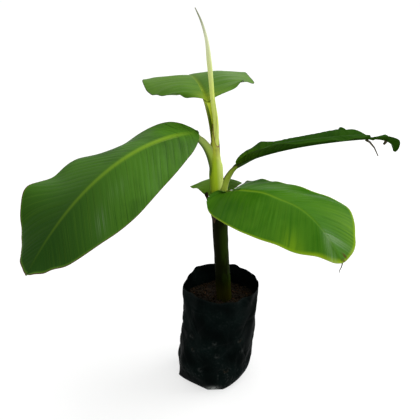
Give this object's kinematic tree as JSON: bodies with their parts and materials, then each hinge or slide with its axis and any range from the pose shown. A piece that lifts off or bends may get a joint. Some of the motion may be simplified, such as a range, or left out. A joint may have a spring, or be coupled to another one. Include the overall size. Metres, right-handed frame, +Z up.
{
  "type": "potted banana starter plant",
  "caption": "Young banana plant with broad arching leaves, a leaning stem of rolled sheaths and an upright rolled spear, standing in a soil-filled black film grow bag.",
  "frame": {"origin": "middle of the flat underside of the bag", "axes": "+Z up, -Y towards the front of the plant, +X to its right"},
  "size_m": [0.4405, 0.3551, 0.4758],
  "materials": {
    "bag_film": "thin black film, creased, dusty, half glossy",
    "soil": "dark crumbly potting soil with brown fibres",
    "stem": "smooth waxy sheaths, dark low down and yellow-green above",
    "dry_sheath": "dry brown papery",
    "spear": "pale cream green, smooth",
    "petiole": "smooth waxy, yellow-green",
    "leaf_blade": "waxy green with parallel side veins and a pale midrib"
  },
  "bodies": {
    "root": {"grow_bag": "bag_film", "soil": "soil", "pseudostem": "stem", "dry_sheath": "dry_sheath", "spear_leaf": "spear", "petiole_top": "petiole", "petiole_left": "petiole", "petiole_right": "petiole", "petiole_front": "petiole", "petiole_small": "petiole", "blade_top": "leaf_blade", "blade_left": "leaf_blade", "blade_right": "leaf_blade", "blade_front": "leaf_blade", "blade_small": "leaf_blade"}
  },
  "joints": []
}
